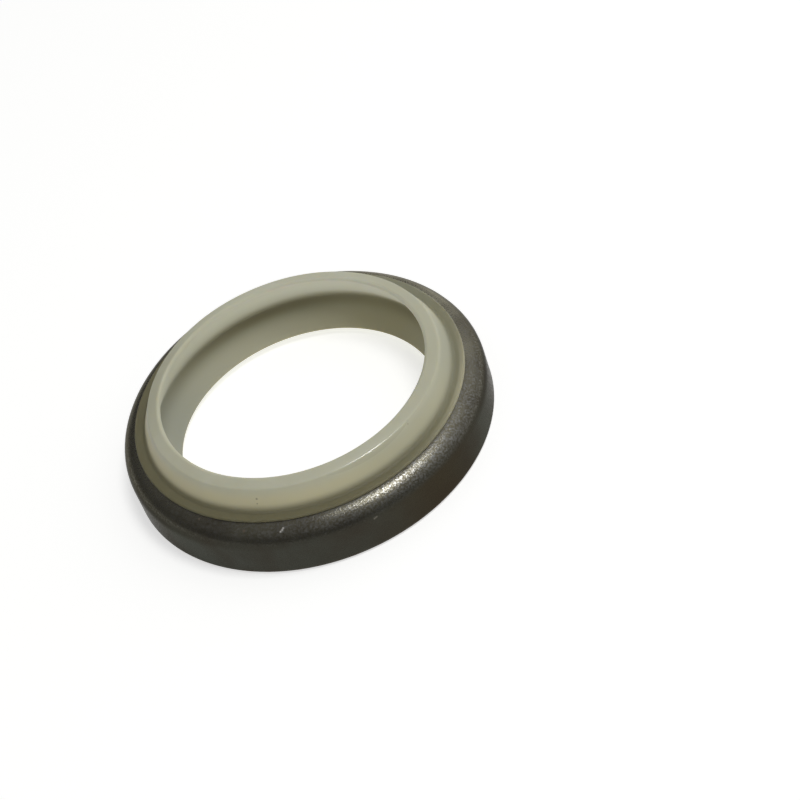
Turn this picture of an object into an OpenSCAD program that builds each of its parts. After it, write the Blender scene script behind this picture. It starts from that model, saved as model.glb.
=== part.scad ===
// Metal-cased rod wiper: a drawn steel ring with a moulded polyurethane wiping element.
// The ring lies on its open rim, with the air side up. Its axis is Z, and Z = 0 is the rim.

/* [Fit] */
// Diameter of the rod that is wiped
rod_d = 35; // [25:0.5:60]
// Radial width between the rod and the housing bore
section_w = 6; // [5.6:0.1:7]

/* [Metal case] */
// Height of the case from its open rim to the top of its flange
case_h = 6.7; // [6.2:0.1:7.6]
// Thickness of the drawn sheet
sheet_t = 1.5; // [1:0.1:1.8]
// Outside radius of the bend between wall and flange
shoulder_r = 2.8; // [2.3:0.1:3]
// How far the flange reaches in from the outside of the wall
flange_reach = 3.7; // [3.4:0.1:4]
// Edge break on the outside of the open rim
rim_break = 0.3; // [0.1:0.05:0.5]
// Bevel on the inside of the open rim
rim_bevel = 0.45; // [0.2:0.05:0.6]
// Rounding of the flange's cut edge
flange_edge_r = 0.2; // [0.1:0.05:0.4]

/* [Skin over the flange] */
// Distance from the outside of the wall in to the edge of the moulded skin
skin_setback = 2.2; // [1.9:0.05:2.4]
// Height of the skin's raised edge above the flange
bead_h = 0.3; // [0.2:0.05:0.4]
// Width of the skin's raised edge
bead_w = 0.7; // [0.6:0.05:0.8]
// Rounding of the raised edge where it meets the case
bead_r = 0.24; // [0.1:0.02:0.3]
// Width of the trough between the raised edge and the foot of the lip
trough_w = 0.6; // [0.55:0.05:0.8]
// Thickness of the skin in the trough
trough_t = 0.12; // [0.08:0.02:0.2]

/* [Wiping lip] */
// Overall height, from the rim to the wiping edge
overall_h = 10; // [9.6:0.1:11]
// How much smaller than the rod the free wiping edge is, on the radius
wipe_squeeze = 0.55; // [0.2:0.05:0.8]
// Height of the small land at the wiping edge
wipe_land = 0.3; // [0.2:0.05:0.5]
// Width of the lip's sloping top face
lip_top_w = 1.7; // [1.5:0.05:1.85]
// Fall of the top face from the wiping edge to the crest
lip_top_fall = 0.4; // [0.2:0.05:0.6]
// Rounding of the crest
crest_r = 0.3; // [0.1:0.05:0.5]
// Fillet where the lip's outer flank meets the trough
foot_r = 0.4; // [0.3:0.05:0.5]

/* [Groove between the lips] */
// Clearance between the rod and the edge where the groove begins
groove_clear = 1.25; // [1:0.05:1.4]
// Height of that edge above the rim
groove_h = 5.7; // [5.4:0.1:6]
// Rounding of that edge
groove_edge_r = 0.2; // [0.1:0.05:0.3]
// Depth of the groove's bottom beyond the edge
groove_depth = 0.5; // [0.4:0.05:0.6]
// Fall of the groove's bottom below the edge
groove_drop = 0.6; // [0.5:0.05:0.7]
// Rounding of the groove's bottom
groove_r = 0.45; // [0.2:0.05:0.5]

/* [Oil lip] */
// How much smaller than the rod the free oil lip is, on the radius
oil_squeeze = 0.55; // [0.2:0.05:0.7]
// Height of the oil lip's end face above the rim
oil_lip_h = 0.8; // [0.6:0.1:1.6]
// Width of the oil lip's end face
oil_lip_w = 2.5; // [2:0.1:2.8]
// Bevel at the oil lip's edge
oil_edge = 0.2; // [0.1:0.05:0.4]
// Rounding of the oil lip's outer corner
oil_corner_r = 0.4; // [0.2:0.05:0.7]
// Outward spread of the oil lip's flank on its way up to the flange
oil_flare = 0.8; // [0.5:0.05:1]
// Fillet between that flank and the underside of the flange
root_r = 0.5; // [0.3:0.1:0.7]

/* [Hidden] */
arc_step = 9;
turn_fn = 180;

rod_r = rod_d / 2;
case_r = rod_r + section_w;
wall_in_r = case_r - sheet_t;
bend_in_r = shoulder_r - sheet_t;
flange_in_r = case_r - flange_reach;
flange_under_z = case_h - sheet_t;

bead_out_r = case_r - skin_setback;
bead_in_r = bead_out_r - bead_w;
bead_z = case_h + bead_h;
foot_x = bead_in_r - trough_w;
trough_z = case_h + trough_t;

wipe_r = rod_r - wipe_squeeze;
crest_x = wipe_r + lip_top_w;
crest_z = overall_h - lip_top_fall;

groove_edge_x = rod_r + groove_clear;

oil_r = rod_r - oil_squeeze;
oil_out_r = oil_r + oil_lip_w;
root_x = oil_out_r + oil_flare;
// Depth to which the moulding's outline is carried into the sheet before the case is cut from it
bite = sheet_t / 2;

function unit(v) = v / norm(v);
function flat(p) = [p.x, p.y];
function angle_of(v) = atan2(v.y, v.x);
function signed(a) = a > 180 ? a - 360 : a < -180 ? a + 360 : a;

// Points of the arc that rounds corner b, which lies between a and c, with radius r
function round_corner(a, b, c, r) =
    let (u = unit(a - b), v = unit(c - b), half = acos(u * v) / 2)
    let (centre = b + unit(u + v) * r / sin(half))
    let (from = angle_of(b + u * r / tan(half) - centre))
    let (sweep = signed(angle_of(b + v * r / tan(half) - centre) - from))
    let (steps = ceil(abs(sweep) / arc_step))
    [for (i = [0:steps]) centre + r * [cos(from + sweep * i / steps), sin(from + sweep * i / steps)]];

// Closed outline through corners [radius, height, rounding], each sharp where its rounding is 0
function outline(corners) =
    let (n = len(corners))
    [for (i = [0:n - 1]) let (p = corners[i], a = corners[(i + n - 1) % n], c = corners[(i + 1) % n])
        each p.z == 0 ? [flat(p)] : round_corner(flat(a), flat(p), flat(c), p.z)];

// L section of the drawn case
module case_section() {
    polygon(outline([
        [case_r - rim_break, 0, 0],
        [case_r, rim_break, 0],
        [case_r, case_h, shoulder_r],
        [flange_in_r, case_h, flange_edge_r],
        [flange_in_r, flange_under_z, flange_edge_r],
        [wall_in_r, flange_under_z, bend_in_r],
        [wall_in_r, rim_bevel, 0],
        [wall_in_r + rim_bevel, 0, 0]
    ]));
}

// Outline of the moulding, before the flange is cut out of it
module moulding_section() {
    polygon(outline([
        [bead_out_r, case_h - bite, 0],
        [bead_out_r, bead_z, bead_r],
        [bead_in_r, bead_z, bead_w],
        [foot_x, trough_z, foot_r],
        [crest_x, crest_z, crest_r],
        [wipe_r, overall_h, 0],
        [wipe_r, overall_h - wipe_land, 0],
        [groove_edge_x, groove_h, groove_edge_r],
        [groove_edge_x + groove_depth, groove_h - groove_drop, groove_r],
        [oil_r, oil_lip_h + oil_edge, 0],
        [oil_r + oil_edge, oil_lip_h, 0],
        [oil_out_r, oil_lip_h, oil_corner_r],
        [root_x, flange_under_z - root_r, root_r],
        [root_x + root_r, flange_under_z, 0],
        [root_x + root_r, flange_under_z + bite, 0]
    ]));
}

module metal_case() {
    color("dimgray")
    rotate_extrude($fn = turn_fn)
        case_section();
}

module wiper_element() {
    color("ivory")
    rotate_extrude($fn = turn_fn)
        difference() {
            moulding_section();
            case_section();
        }
}

metal_case();
wiper_element();
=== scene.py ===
# %% [markdown]
# # A metal-cased rod wiper
# This ring sits at the end of a hydraulic cylinder and scrapes dirt off the rod. It has two pieces: a steel
# case, drawn from sheet, and a wiping element of cream polyurethane, moulded onto the case's flange.
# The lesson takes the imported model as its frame, makes both pieces again as fine turned surfaces, and gives
# them the finish of the real ones.

import bpy
import numpy as np
from mathutils import Matrix, Vector


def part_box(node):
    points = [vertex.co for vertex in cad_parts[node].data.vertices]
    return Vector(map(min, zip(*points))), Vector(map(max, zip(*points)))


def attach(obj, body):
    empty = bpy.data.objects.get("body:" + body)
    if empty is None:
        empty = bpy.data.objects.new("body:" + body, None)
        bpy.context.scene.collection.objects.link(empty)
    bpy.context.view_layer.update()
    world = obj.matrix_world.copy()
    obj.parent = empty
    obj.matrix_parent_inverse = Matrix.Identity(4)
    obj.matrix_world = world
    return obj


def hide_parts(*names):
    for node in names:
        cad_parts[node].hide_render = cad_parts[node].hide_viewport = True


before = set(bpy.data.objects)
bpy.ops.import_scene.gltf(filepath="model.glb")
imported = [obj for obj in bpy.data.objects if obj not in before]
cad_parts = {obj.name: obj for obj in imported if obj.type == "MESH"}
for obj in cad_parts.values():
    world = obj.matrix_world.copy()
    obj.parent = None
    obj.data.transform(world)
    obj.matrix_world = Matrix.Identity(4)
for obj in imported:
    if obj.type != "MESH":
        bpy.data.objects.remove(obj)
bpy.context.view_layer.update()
MM = 0.001

# %% [markdown]
# ## Camera
# The camera looks down on the ring, which lies flat on its rim. In the picture the ring's axis leans to the
# left, so the camera is rolled. It could be moved by hand until the ring fits. Here its place follows from
# what is read from the picture: the pixel where the middle of the rim lands, how far away that is, and the
# tilt and turn of the ring's axis.

# %% Camera
PICTURE = 800
FOCAL_PX = 2000.0
SENSOR_MM = 36.0
rim_pixel = np.array([313.07, 427.89])
rim_depth = 252.58 * MM
axis_tilt = np.radians(47.06)
axis_turn = np.radians(-110.15)


def camera_matrix():
    """Camera axes are right, down and forward. The ring's axis is written in them as a tilt from the line of
    sight and a turn in the picture; the world's Y is the sight line laid flat, and X completes the three."""
    flat = np.sin(axis_tilt)
    up = np.array([flat * np.cos(axis_turn), flat * np.sin(axis_turn), -np.cos(axis_tilt)])
    ahead = np.array([0.0, 0.0, 1.0]) - up[2] * up
    ahead /= np.linalg.norm(ahead)
    to_camera = np.stack([np.cross(ahead, up), ahead, up], axis=1)
    rim = rim_depth * np.append((rim_pixel - PICTURE / 2) / FOCAL_PX, 1.0)
    place = np.eye(4)
    place[:3, :3] = to_camera.T * np.array([1.0, -1.0, -1.0])
    place[:3, 3] = -to_camera.T @ rim
    return Matrix(place.tolist())


camera = bpy.data.objects.new("camera", bpy.data.cameras.new("camera"))
camera.data.sensor_width = SENSOR_MM
camera.data.lens = FOCAL_PX / PICTURE * SENSOR_MM
camera.data.clip_start = 10 * MM
camera.matrix_world = camera_matrix()
bpy.context.scene.collection.objects.link(camera)
bpy.context.scene.camera = camera
print("camera at", [round(v, 4) for v in camera.location])

# %% [markdown]
# ## Sections with rounded corners
# Both pieces are bodies of revolution, so each is first drawn as a flat section: a list of corners, each with
# its own rounding. A Bevel modifier could round them later, with one width for all. Real edges differ, and
# their small roundings are what catches the light.

# %% Section
ARC_STEP = np.radians(5)


def arc(centre, radius, start, end):
    """Points at centre + radius * (cos a, sin a), for a from start to end."""
    a = np.linspace(start, end, max(2, int(np.ceil(abs(end - start) / ARC_STEP)) + 1))
    return np.asarray(centre) + radius * np.stack([np.cos(a), np.sin(a)], axis=1)


def rounded(before, corner, after, radius):
    """Arc that touches both sides of a corner: its centre is on the bisector, radius / sin(half) away."""
    u, v = before - corner, after - corner
    u, v = u / np.linalg.norm(u), v / np.linalg.norm(v)
    half = np.arccos(np.clip(u @ v, -1, 1)) / 2
    centre = corner + (u + v) / np.linalg.norm(u + v) * radius / np.sin(half)
    first, last = corner + np.stack([u, v]) * radius / np.tan(half) - centre
    start, end = np.arctan2(first[1], first[0]), np.arctan2(last[1], last[0])
    end = start + (end - start + np.pi) % (2 * np.pi) - np.pi
    return arc(centre, radius, start, end)


def section(corners, spacing):
    """Closed outline through corners (radius, height, rounding), its straight stretches cut to spacing."""
    points = np.array([(r, z) for r, z, _ in corners], float)
    neighbours = zip(np.roll(points, 1, axis=0), points, np.roll(points, -1, axis=0), corners)
    bends = [rounded(a, p, c, k[2]) if k[2] else p[None] for a, p, c, k in neighbours]
    outline = []
    for bend, following in zip(bends, bends[1:] + bends[:1]):
        gap = following[0] - bend[-1]
        cuts = max(1, int(np.ceil(np.linalg.norm(gap) / spacing)))
        outline += [bend, bend[-1] + gap * np.linspace(0, 1, cuts + 1)[1:-1, None]]
    return np.concatenate(outline)


print("an arc of a quarter turn has", len(arc((0, 0), 1, 0, np.pi / 2)), "points")

# %% [markdown]
# ## Turned surfaces
# A section becomes a body by carrying it round the axis. A Screw modifier could do the same, but a grid of
# our own also takes small faults of the surface, as a lift along the normal, and values for the materials.

# %% Turned surface
TURNS = 360
ANGLE = np.linspace(0, 2 * np.pi, TURNS, endpoint=False)


def twice_area(outline):
    """Shoelace sum of a closed outline: positive when it runs counter-clockwise."""
    ahead = np.roll(outline, -1, axis=0)
    return np.sum(outline[:, 0] * ahead[:, 1] - ahead[:, 0] * outline[:, 1])


def outward(outline):
    """Unit normals of a closed outline, square to the chord between each point's neighbours."""
    chord = np.roll(outline, -1, axis=0) - np.roll(outline, 1, axis=0)
    normal = np.stack([chord[:, 1], -chord[:, 0]], axis=1) * np.sign(twice_area(outline))
    return normal / np.linalg.norm(normal, axis=1, keepdims=True)


def turned(name, outline, lift, values):
    """Point (i, j) is outline point i, moved by lift[i, j] along its normal and turned by 2 pi j / TURNS.
    Each of the values, for every i or for every (i, j), becomes an attribute of the points."""
    moved = outline[:, None] + lift[..., None] * outward(outline)[:, None]
    r, z = moved[..., 0], moved[..., 1]
    place = np.stack([r * np.cos(ANGLE), r * np.sin(ANGLE), z], axis=-1).reshape(-1, 3) * MM
    i, j = np.meshgrid(np.arange(len(outline)), np.arange(TURNS), indexing="ij")
    i2, j2 = (i + 1) % len(outline), (j + 1) % TURNS
    corners = [i * TURNS + j, i * TURNS + j2, i2 * TURNS + j2, i2 * TURNS + j]
    quads = np.stack(corners, axis=-1).reshape(-1, 4)
    if twice_area(outline) > 0:
        quads = quads[:, ::-1]
    mesh = bpy.data.meshes.new(name)
    mesh.from_pydata(place, [], quads)
    mesh.polygons.foreach_set("use_smooth", np.ones(len(quads), bool))
    for key, value in values.items():
        layer = mesh.attributes.new(key, "FLOAT", "POINT")
        value = np.broadcast_to(np.reshape(value, (len(outline), -1)), i.shape)
        layer.data.foreach_set("value", value.astype(np.float32).ravel())
    mesh.update()
    piece = bpy.data.objects.new(name, mesh)
    bpy.context.scene.collection.objects.link(piece)
    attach(piece, "root")
    print(name, "has", len(place), "points and", 2 * len(quads), "triangles")
    return piece


# %% [markdown]
# ## Sizes
# The outer sizes are read from the frame, so the visual pieces can't drift away from it. The others are those
# of the model: thickness of the sheet, radius of the bend, and where the flange ends inside the polyurethane.

# %% Sizes shared by both pieces
case_high = np.array(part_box("metal_case"))[1] / MM
lip_low, lip_high = np.array(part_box("wiper_element")) / MM
case_r, case_h = case_high[0], case_high[2]
overall_h, oil_lip_h, bead_out_r = lip_high[2], lip_low[2], lip_high[0]
sheet_t, shoulder_r, flange_reach, flange_edge_r = 1.5, 2.8, 3.7, 0.2
flange_in_r, under_z = case_r - flange_reach, case_h - sheet_t
bend_c = np.array([case_r - shoulder_r, case_h - shoulder_r])
joint_z = bend_c[1] + np.sqrt(shoulder_r ** 2 - (bead_out_r - bend_c[0]) ** 2)
print("case radius", round(case_r, 3), "height", round(case_h, 3), "overall height", round(overall_h, 3))

# %% [markdown]
# ## The steel case
# A press draws the case from a flat disc: a plain wall, a full round shoulder and a flange that the
# polyurethane hides. The rim is cut afterwards, so its edges are crisp. A sheet with a Solidify modifier
# could give the wall its thickness, but then the bevel inside the rim would have to be cut out of it.

# %% Case section
SPACING = 0.3
rim_break, rim_bevel = 0.3, 0.45
rim_edge_r, break_edge_r, bevel_edge_r = 0.08, 0.15, 0.1
wall_in_r = case_r - sheet_t
case_outline = section([
    (case_r - rim_break, 0, rim_edge_r), (case_r, rim_break, break_edge_r), (case_r, case_h, shoulder_r),
    (flange_in_r, case_h, flange_edge_r), (flange_in_r, under_z, flange_edge_r),
    (wall_in_r, under_z, shoulder_r - sheet_t), (wall_in_r, rim_bevel, bevel_edge_r),
    (wall_in_r + rim_bevel, 0, rim_edge_r),
], SPACING)
print("the case's section has", len(case_outline), "points")

# %% [markdown]
# ## Places on a ring
# No finish is the same all over: steel is bright where it is rubbed, and polyurethane changes its tint with
# its thickness. Many places also carry painted light and shade: reflections on the steel, shade in the
# crevice and inside the lip, light on the lip's sides. Such places could be painted by hand, as vertex
# colours. Here each is a soft step or a bell along the section, times a bell round the axis, so it can be
# read and changed.

# %% Steps, bells and waves
rng = np.random.default_rng(47)


def climb(value, low, high):
    """0 below low, 1 above high, and 3 t^2 - 2 t^3 between them."""
    t = np.clip((value - low) / (high - low), 0, 1)
    return t * t * (3 - 2 * t)


def bell(offset, width):
    """exp(-(offset / width)^2): 1 in the middle, falling to both sides."""
    return np.exp(-(offset / width) ** 2)


def near_turn(degrees, spread):
    """A bell round the axis, with its middle at one turn. Turn 0 is +X, and 270 is the front."""
    return bell((np.degrees(ANGLE) - degrees + 180) % 360 - 180, spread)


def ringed(along, turns):
    """The value at outline point i and turn j is along[i] * turns[j]."""
    return along[:, None] * turns


def waves(counts):
    """Sum of cosines round the axis, one for each number of waves, with random phases, brought to 0..1."""
    counts = np.array(counts)[:, None]
    phases = rng.uniform(0, 2 * np.pi, counts.shape)
    total = np.sum(np.cos(counts * ANGLE + phases) / np.sqrt(counts), axis=0)
    return (total - total.min()) / np.ptp(total)


print("a bell has", round(float(bell(1, 1)), 3), "left at one width from its middle")

# %% [markdown]
# ## The case as a mesh
# Drawing leaves the outside slightly wavy, so it sinks by some hundredths of a millimetre here and there.
# The values that go along tell the material where the cut rim and the rubbed shoulder are, where painted
# reflections make the shoulder lighter and the wall paler or browner, and where the moulding begins: a thin
# dark line of painted shade in the crevice, strongest at the left of the front.

# %% Case mesh
CASE_DENT = 0.025


def seam(r, z):
    """Painted shade in the crevice: 1 on the line where the moulding meets the steel, falling within 0.15 mm
    and away from turn 234.
    """
    close = 1 - climb(np.hypot(r - bead_out_r, z - joint_z), 0.05, 0.15)
    return ringed(close, 0.15 + 0.85 * near_turn(234, 26))


r, z = case_outline.T
rise = z - bend_c[1]
upper = climb(rise, 0.8, 2.2)
bare = climb(z, 0.4, 1.2) * climb(r, bead_out_r + 0.3, bead_out_r + 0.9)
case = turned("steel_case", case_outline, -CASE_DENT * ringed(bare, waves([3, 5, 8, 13, 21])), {
    "rim": 1 - climb(z, 0.1, 0.45),
    # Rubbed shoulder, lighter towards the right as a painted reflection of the window
    "shoulder": ringed(upper, 0.55 + 0.45 * near_turn(340, 85)),
    # Burnished crystals, gathered round turn 305 as a painted highlight where the softbox's highlight falls
    "worn_and_glint": ringed(upper, 0.25 + 0.65 * near_turn(305, 45)),
    # Painted reflection of the window on the top of the shoulder at the right
    "window_reflection": ringed(climb(rise, 1.9, 2.4), near_turn(32, 42)),
    # Painted reflection: the lower shoulder and the wall paler at turns 218 and 330
    "pale_reflection": ringed(1 - climb(rise, -0.2, 0.8), near_turn(218, 26) + near_turn(330, 14)),
    # Painted reflection: the lower shoulder and the wall browner near turn 302
    "brown_reflection": ringed(1 - climb(rise, 0.4, 1.6), near_turn(302, 18)),
    # Painted shade in the crevice where the moulding meets the steel
    "crevice_shade": seam(r, z),
})
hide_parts("metal_case")

# %% [markdown]
# ## The wiping element
# The polyurethane is poured round the flange in a mould. On top it forms a thin skin with a raised edge, and
# from that the wiping lip rises to a round nose; underneath hangs the oil lip, and a groove lets the two bend
# apart. A Boolean could cut the flange out of it. Here its outline runs along the steel's own arc, so the two
# pieces meet without a gap.

# %% Sizes of the wiping element
rod_r = 17.5
wipe_squeeze, lip_top_w, lip_top_fall, crest_r, foot_r = 0.55, 1.7, 0.4, 0.4, 0.4
bead_h, bead_w, bead_r, trough_w, trough_t, seat_edge_r = 0.3, 0.7, 0.24, 0.6, 0.12, 0.06
groove_clear, groove_h, groove_depth, groove_drop, groove_r = 1.25, 5.7, 0.5, 0.6, 0.45
groove_wall_in, groove_wall_up, groove_wall_r = 0.95, 1.6, 2.8
oil_squeeze, oil_lip_w, oil_edge, oil_edge_r = 0.55, 2.5, 0.2, 0.04
oil_corner_r, oil_flare, root_r = 0.4, 0.8, 0.5
# The nose rounds two corners: one just over the overall height, one under it
nose_over, nose_over_r, nose_under, nose_under_r = 0.145, 0.4, 0.535, 0.5

wipe_r, oil_r = rod_r - wipe_squeeze, rod_r - oil_squeeze
crest_x, crest_z = wipe_r + lip_top_w, overall_h - lip_top_fall
trough_z, bead_z = case_h + trough_t, case_h + bead_h
foot_x = bead_out_r - bead_w - trough_w
groove_x, groove_z = rod_r + groove_clear + groove_depth, groove_h - groove_drop
print("free radius of the lip", wipe_r, "for a rod of", rod_r)

# %% Section of the wiping element
seat = arc(bend_c, shoulder_r, np.pi / 2, np.arcsin((joint_z - bend_c[1]) / shoulder_r))
lip_outline = section([
    (*seat[-1], seat_edge_r), (bead_out_r, bead_z, bead_r),
    (foot_x, trough_z, foot_r), (crest_x, crest_z, crest_r),
    (wipe_r, overall_h + nose_over, nose_over_r), (wipe_r, overall_h - nose_under, nose_under_r),
    (groove_x - groove_wall_in, groove_z + groove_wall_up, groove_wall_r), (groove_x, groove_z, groove_r),
    (oil_r, oil_lip_h + oil_edge, oil_edge_r), (oil_r + oil_edge, oil_lip_h, oil_edge_r),
    (oil_r + oil_lip_w, oil_lip_h, oil_corner_r),
    (oil_r + oil_lip_w + oil_flare, under_z - root_r, root_r), (bend_c[0], under_z, 0),
    (flange_in_r, under_z, flange_edge_r), (flange_in_r, case_h, flange_edge_r),
    *[(r, z, 0) for r, z in seat[:-1]],
], SPACING)
print("the wiping element's section has", len(lip_outline), "points")

# %% [markdown]
# ## Tints, painted light and painted shade of the wiping element
# Where polyurethane is thin it looks darker. Where it lies deep, shade is painted in as a darker tint, and
# painted light from the sides makes some stretches greyer, browner or paler. One noise texture could mottle
# it all over, but these tints follow the form. So the places are named for the form: the skin, the lip's
# flank, crest, top and nose, the cone and the groove.

# %% Places on the section
r, z = lip_outline.T
sunk = groove_h - z
inside = climb(-outward(lip_outline)[:, 0], 0.2, 0.5)
above = climb(z, case_h - 0.5, case_h - 0.2) * (1 - inside)
skin = above * climb(r, foot_x - 0.55, foot_x + 0.15)
raised = above * climb(r, bead_out_r - 0.75, bead_out_r - 0.45)
upper_flank = above * climb(r, crest_x - 0.1, crest_x + 0.3)
crest = above * bell(r - crest_x, 0.4)
top = (1 - inside) * climb(z, crest_z - 0.5, crest_z - 0.1)
nose = climb(z, overall_h - 1, overall_h - 0.45) * bell(r - wipe_r, 0.27)
cone = inside * climb(overall_h - z, 0, 0.4)
below = inside * climb(sunk, -2.9, 1.2)
lower = inside * climb(sunk, -1.2, 1.2)
groove_shade = inside * bell(np.hypot(r - groove_x + 0.25, z - groove_z + 0.5), 1.1)
print("points on the inner side:", int(np.sum(inside > 0.5)))

# %% Wiping element mesh
LIP_DENT = 0.03
free = climb(z, case_h + 0.3, overall_h - 0.4)
lip = turned("wiper_moulding", lip_outline, -LIP_DENT * ringed(free, waves([2, 3, 5, 9, 14])), {
    "flank": above * climb(r, crest_x - 0.1, crest_x + 0.7),
    # Painted shade: the upper flank darker and greyer at the right and at the front
    "shaded_flank": ringed(upper_flank, 0.95 * near_turn(352, 30) + 0.55 * near_turn(303, 26)),
    # Painted shade: the lip's top darker at the right and at the left
    "top": ringed(top, 0.75 * near_turn(350, 60) + 0.9 * near_turn(155, 30)),
    # Olive of the thin skin over the steel, its own colour, weaker at the right as painted light
    "skin": ringed(skin, 1 - 0.35 * near_turn(350, 45)),
    # The skin is drawn greyer and paler at the back right
    "greyer_skin": ringed(skin, near_turn(38, 25)),
    # Painted glint: the raised edge lighter at the right
    "bead_glint": ringed(raised, near_turn(336, 22)),
    # Painted light: the cone inside the lip lighter at the back
    "cone": ringed(cone, near_turn(50, 80)),
    # Painted light: the nose lighter at the back right
    "nose": ringed(nose, near_turn(45, 50)),
    # Painted shade: the inside darker as it goes down
    "below": ringed(below, 1 - 0.35 * near_turn(48, 22)),
    # Painted shade: the lower inside browner at the back right
    "brown": ringed(lower, 0.75 * near_turn(40, 35)),
    # Painted light: the left inside drawn cooler and greyer, as it is lit from the right
    "cool": ringed(0.35 * cone + 0.65 * lower, near_turn(162, 35)),
    # Painted shade in the groove between the two lips
    "groove_shade": ringed(groove_shade, (1 - near_turn(178, 48)) * (1 - 0.4 * near_turn(45, 25))),
    # Painted shade in the crevice where the moulding meets the steel
    "crevice_shade": seam(r, z),
    "gloss": ringed(crest, near_turn(290, 25)),
})
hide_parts("wiper_element")

# %% [markdown]
# ## Colours and nodes
# Colours are written as they look on a screen and turned into the linear values that a renderer adds up. One
# small helper puts a node into a material. Two more lay coats of colour over each other, as a painter would,
# and set small marks, so each material below reads as a list of what it is made of.

# %% Helpers for materials
SPOT_CORE = 0.4


def linear(code):
    """sRGB hex to linear RGBA: c / 12.92 below 0.04045, and ((c + 0.055) / 1.055) ^ 2.4 above."""
    c = np.array([int(code[k:k + 2], 16) for k in (1, 3, 5)]) / 255
    return (*np.where(c <= 0.04045, c / 12.92, ((c + 0.055) / 1.055) ** 2.4), 1.0)


def add(tree, kind, inputs=None, **settings):
    """Add one node, set its properties, and link or set its inputs."""
    new = tree.nodes.new(kind)
    for key, value in settings.items():
        setattr(new, key, value)
    for socket, value in (inputs or {}).items():
        if isinstance(value, bpy.types.NodeSocket):
            tree.links.new(value, new.inputs[socket])
        else:
            new.inputs[socket].default_value = value
    return new


def painted(tree, tone, coats):
    """A tone under coats (amount, colour): each hides what is below it by its amount, from 0 to 1."""
    for amount, colour in coats:
        colour = linear(colour) if isinstance(colour, str) else colour
        tone = add(tree, "ShaderNodeMix", {0: amount, 6: tone, 7: colour}, data_type="RGBA").outputs[2]
    return tone


def marked(tree, where, tone, colour, spots):
    """A tone with small round spots; each spot is its radius, height, turn in degrees and reach. The colour
    is full as far as SPOT_CORE of the reach, and fades to nothing at the reach."""
    for radius, height, turn, reach in spots:
        a = np.radians(turn)
        middle = Vector((radius * np.cos(a), radius * np.sin(a), height)) * MM
        away = add(tree, "ShaderNodeVectorMath", {0: where, 1: middle}, operation="DISTANCE")
        near = add(tree, "ShaderNodeMapRange", {
            "Value": away.outputs["Value"], "From Min": SPOT_CORE * reach * MM, "From Max": reach * MM,
            "To Min": 1.0, "To Max": 0.0})
        tone = painted(tree, tone, [(near.outputs[0], colour)])
    return tone


def material(name):
    """A new node material, and its tree with no nodes in it yet."""
    made = bpy.data.materials.new(name)
    made.use_nodes = True
    made.node_tree.nodes.clear()
    return made, made.node_tree


print("cream in linear light:", [round(float(v), 3) for v in linear("#cecdb5")])

# %% [markdown]
# ## Steel, phosphated and drawn
# Phosphating turns bare steel dark grey and dull, with a coat of fine crystals. The press has rubbed the
# shoulder, so crystals there are burnished: each is a tiny mirror, and together they sparkle in the light.
# Near the highlight their colour is lighter still, as a painted highlight, and painted reflections lighten
# the shoulder to the right. The wall stays smooth and greenish, with paler and browner patches of painted
# reflection, and the cut rim is bare steel with the first brown spots of rust. A plain metal with one
# roughness would look polished, so a noise breaks up colour, roughness and height.

# %% Steel patterns
# Real crystals are some hundredths of a millimetre wide; they are drawn coarser here, so that they show
GRAIN, PATCH, RUST = 0.24 * MM, 5 * MM, 1.2 * MM
GRAIN_HEIGHT = 0.04 * MM
steel, tree = material("phosphated_drawn_steel")
where = add(tree, "ShaderNodeTexCoord").outputs["Object"]
rim, shoulder, worn_and_glint, window_reflection, pale_reflection, brown_reflection, crevice_shade = (
    add(tree, "ShaderNodeAttribute", attribute_name=key).outputs["Fac"]
    for key in ("rim", "shoulder", "worn_and_glint", "window_reflection", "pale_reflection", "brown_reflection", "crevice_shade"))
grain, patch, spots = (
    add(tree, "ShaderNodeTexNoise", {"Vector": where, "Scale": 1 / size, "Detail": detail}).outputs[0]
    for size, detail in ((GRAIN, 2.0), (PATCH, 4.0), (RUST, 3.0)))
# Bright crystal grains: real burnish, with a painted highlight where they gather near turn 305
peaks = add(tree, "ShaderNodeMapRange", {"Value": grain, "From Min": 0.42, "From Max": 0.68}).outputs[0]
peaks = add(tree, "ShaderNodeMath", {0: peaks, 1: worn_and_glint}, operation="MULTIPLY").outputs[0]
coarse = add(tree, "ShaderNodeMapRange", {"Value": worn_and_glint, "To Min": 0.3, "To Max": 0.85}).outputs[0]
uneven = add(tree, "ShaderNodeMapRange", {
    "Value": patch, "From Min": 0.4, "From Max": 0.65, "To Max": 0.4}).outputs[0]
rusty = add(tree, "ShaderNodeMapRange", {"Value": spots, "From Min": 0.52, "From Max": 0.6}).outputs[0]
print("crystals of", GRAIN / MM, "mm, patches of", PATCH / MM, "mm")

# %% Steel colours
cut_steel = painted(tree, linear("#77736a"), [(rusty, "#5b4030")])
# Painted light in these coats: the shoulder's tone and the light coat on its top are lighter at the right as
# painted reflections, the pale and brown coats are painted reflections, the bright grains a painted highlight
# where they gather, and the near-black coat is painted shade in the crevice
tone = painted(tree, linear("#3e3e37"), [
    (shoulder, "#716d5d"), (window_reflection, "#a9a591"), (pale_reflection, "#4b4d48"), (brown_reflection, "#393327"),
    (uneven, "#342b22"), (peaks, "#a0a09d"), (rim, cut_steel), (crevice_shade, "#0b0a08")])
tick = [(22.10, 6.32, 253.2, 0.15), (22.28, 6.21, 252.8, 0.17), (22.42, 6.11, 252.3, 0.15)]
flecks = [(22.18, 6.27, 240.5, 0.22), (21.75, 6.50, 223.8, 0.18)]
scratch = [(23.43, 4.53, 279.8, 0.14), (23.42, 4.57, 280.2, 0.14), (23.40, 4.62, 280.6, 0.14)]
for marks, colour in ((tick, "#f4f1ea"), (flecks, "#85796a"), (scratch, "#69655c")):
    tone = marked(tree, where, tone, colour, marks)
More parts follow.
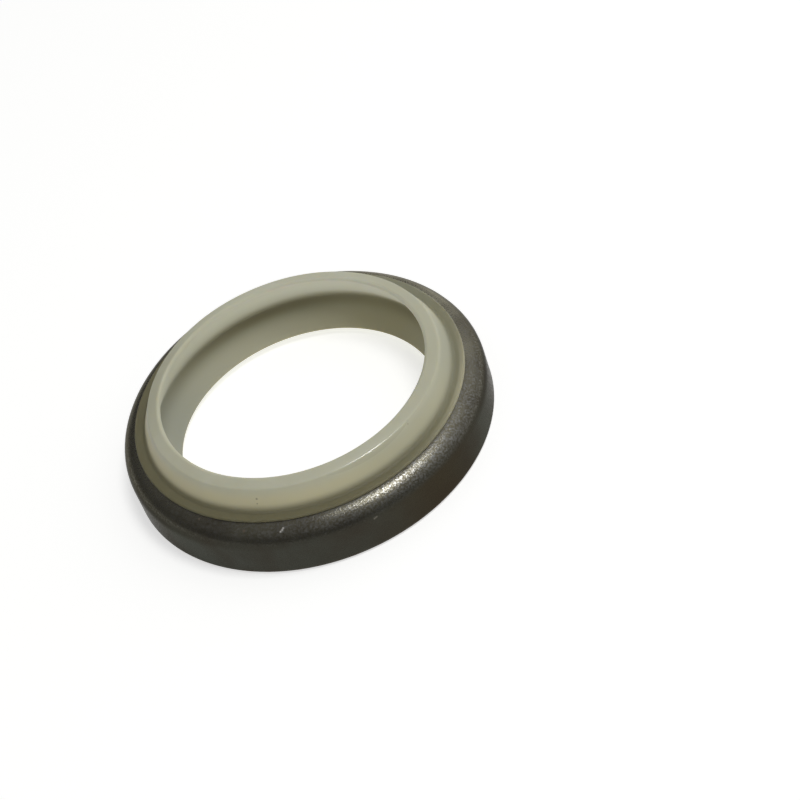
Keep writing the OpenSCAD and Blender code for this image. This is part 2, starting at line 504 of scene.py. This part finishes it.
print("small marks on the steel:", len(tick) + len(flecks) + len(scratch))

# %% Steel surface
# High grains are smoother than the low ground between them, which gives the eye a sparkle on a dull coat
dull = add(tree, "ShaderNodeMapRange", {
    "Value": grain, "From Min": 0.3, "From Max": 0.7, "To Min": 0.4, "To Max": 0.2}).outputs[0]
bump = add(tree, "ShaderNodeBump", {"Height": grain, "Strength": coarse, "Distance": GRAIN_HEIGHT}).outputs[0]
shade = add(tree, "ShaderNodeBsdfPrincipled", {
    "Base Color": tone, "Metallic": 0.7, "Roughness": dull, "Normal": bump,
    "Specular IOR Level": 0.2, "Specular Tint": linear("#a09e98")})
add(tree, "ShaderNodeOutputMaterial", {"Surface": shade.outputs[0]})
case.data.materials.append(steel)
print(steel.name, "has", len(tree.nodes), "nodes")

# %% [markdown]
# ## Polyurethane, moulded
# Cast polyurethane is cream and lets a little light in, so its shadows are soft. Over the flange the skin is
# so thin that the dark steel shows through as olive. In the groove the light is lost between the two lips,
# and that shade is painted in as a darker tint. Its surface is satin, as the mould's was, apart from a smooth
# stretch of the crest that shows a thin bright line. A plain plastic would do for the colour, but scattering
# below the surface softens each shadow.

# %% Polyurethane colours
CLOUD = 6 * MM
urethane, tree = material("moulded_polyurethane")
where = add(tree, "ShaderNodeTexCoord").outputs["Object"]
cloud = add(tree, "ShaderNodeTexNoise", {"Vector": where, "Scale": 1 / CLOUD, "Detail": 3.0}).outputs[0]
milky = add(tree, "ShaderNodeMapRange", {"Value": cloud, "From Min": 0.35, "From Max": 0.65}).outputs[0]
# Most of these tints are painted light and shade: the darker flank and top, the lighter cone and nose, the
# glint on the raised edge, the cooler left inside, the darker and browner inside, the groove and the crevice.
# The olive skin is the moulding's own, weaker at the right as painted light; the flank's cream is a tint
tints = {
    "flank": "#dbd5b2", "shaded_flank": "#b4b49e", "top": "#c0bfa8", "skin": "#757158", "greyer_skin": "#93937f",
    "bead_glint": "#b0ac93", "cone": "#e6e6d3", "nose": "#ececdc", "below": "#b7b59f", "brown": "#a39c78",
    "cool": "#a1a294", "groove_shade": "#8c876c", "crevice_shade": "#0f0d0a"}
coats = [(add(tree, "ShaderNodeAttribute", attribute_name=key).outputs["Fac"], colour)
         for key, colour in tints.items()]
tone = painted(tree, linear("#cecdb5"), [(milky, "#d3d3be"), *coats])
specks = [(19.18, 8.52, 244.6, 0.18), (19.44, 7.98, 244.5, 0.12), (18.83, 9.22, 307.4, 0.13)]
tone = marked(tree, where, tone, "#aca688", specks)
print("tints:", len(tints), "and specks:", len(specks))

# %% Polyurethane surface
# A satin skin that light enters: the eye sees soft shadows, and a sharp highlight only on the smooth crest
gloss = add(tree, "ShaderNodeAttribute", attribute_name="gloss").outputs["Fac"]
dull = add(tree, "ShaderNodeMapRange", {"Value": gloss, "To Min": 0.5, "To Max": 0.1}).outputs[0]
shine = add(tree, "ShaderNodeMapRange", {"Value": gloss, "To Min": 0.2, "To Max": 0.9}).outputs[0]
shade = add(tree, "ShaderNodeBsdfPrincipled", {
    "Base Color": tone, "Roughness": dull, "Specular IOR Level": shine, "Subsurface Weight": 0.5,
    "Subsurface Radius": (1.2, 1.0, 0.6), "Subsurface Scale": 0.5 * MM})
add(tree, "ShaderNodeOutputMaterial", {"Surface": shade.outputs[0]})
lip.data.materials.append(urethane)
print(urethane.name, "has", len(tree.nodes), "nodes")

# %% [markdown]
# ## Table
# The ring lies on a plain white table. A second lamp could brighten the table's shaded side, but it would
# also show in the steel. So the table glows a little itself, and stays pale where the ring shades it.

# %% Table
TABLE_HALF = 0.6
corners = TABLE_HALF * np.array([(-1, -1, 0), (1, -1, 0), (1, 1, 0), (-1, 1, 0)])
floor_mesh = bpy.data.meshes.new("floor")
floor_mesh.from_pydata(corners, [], [(0, 1, 2, 3)])
floor = bpy.data.objects.new("floor", floor_mesh)
bpy.context.scene.collection.objects.link(floor)
# Matt paper has no highlight of its own, so the eye rests on the ring
white, tree = material("matt_white_paper")
shade = add(tree, "ShaderNodeBsdfPrincipled", {
    "Base Color": linear("#d4d4d2"), "Roughness": 0.9, "Specular IOR Level": 0.1,
    "Emission Color": (1, 1, 1, 1), "Emission Strength": 0.6})
add(tree, "ShaderNodeOutputMaterial", {"Surface": shade.outputs[0]})
floor_mesh.materials.append(white)
print("table of", 2 * TABLE_HALF, "m")

# %% [markdown]
# ## Light
# A studio light hangs overhead, a little to the right and towards the camera: that is where the bright place
# on the shoulder says it is. A sun lamp would give hard shadows. This softbox is small enough to make the
# steel sparkle and wide enough to keep shadows soft.

# %% Softbox
SOFTBOX_WIDE, SOFTBOX_AWAY, SOFTBOX_WATTS = 0.24, 0.7, 1.9
toward = Vector((0.28, -0.13, 0.95)).normalized()
softbox = bpy.data.lights.new("softbox", "AREA")
softbox.size = SOFTBOX_WIDE
softbox.energy = SOFTBOX_WATTS
key = bpy.data.objects.new("softbox", softbox)
key.location = toward * SOFTBOX_AWAY
key.rotation_euler = toward.to_track_quat("Z", "Y").to_euler()
bpy.context.scene.collection.objects.link(key)
print("softbox at", [round(v, 3) for v in key.location])

# %% [markdown]
# ## Room
# The rest of the room is dark near the horizon and bright overhead, as under a white ceiling, with a wide
# pale window at the right. The dark part gives the lower half of the steel shoulder its depth. A photographed
# surrounding could do this too, but two soft steps are enough and can be read.

# %% Room
window_way = (0.85, 0.3, 0.43)
world = bpy.data.worlds.new("room")
bpy.context.scene.world = world
world.use_nodes = True
tree = world.node_tree
tree.nodes.clear()
sky = add(tree, "ShaderNodeTexCoord").outputs["Generated"]
height = add(tree, "ShaderNodeSeparateXYZ", {0: sky}).outputs["Z"]
ceiling = add(tree, "ShaderNodeMapRange", {
    "Value": height, "From Min": 0.3, "From Max": 0.75, "To Min": 0.04, "To Max": 0.22}).outputs[0]
aside = add(tree, "ShaderNodeVectorMath", {0: sky, 1: window_way}, operation="DOT_PRODUCT")
window = add(tree, "ShaderNodeMapRange", {
    "Value": aside.outputs["Value"], "From Min": 0.35, "From Max": 0.85, "To Max": 0.34}).outputs[0]
level = add(tree, "ShaderNodeMath", {0: ceiling, 1: window}, operation="ADD").outputs[0]
back = add(tree, "ShaderNodeBackground", {"Color": (1, 1, 1, 1), "Strength": level})
add(tree, "ShaderNodeOutputWorld", {"Surface": back.outputs[0]})
bpy.context.scene.view_settings.view_transform = "Standard"
print("room:", world.name)
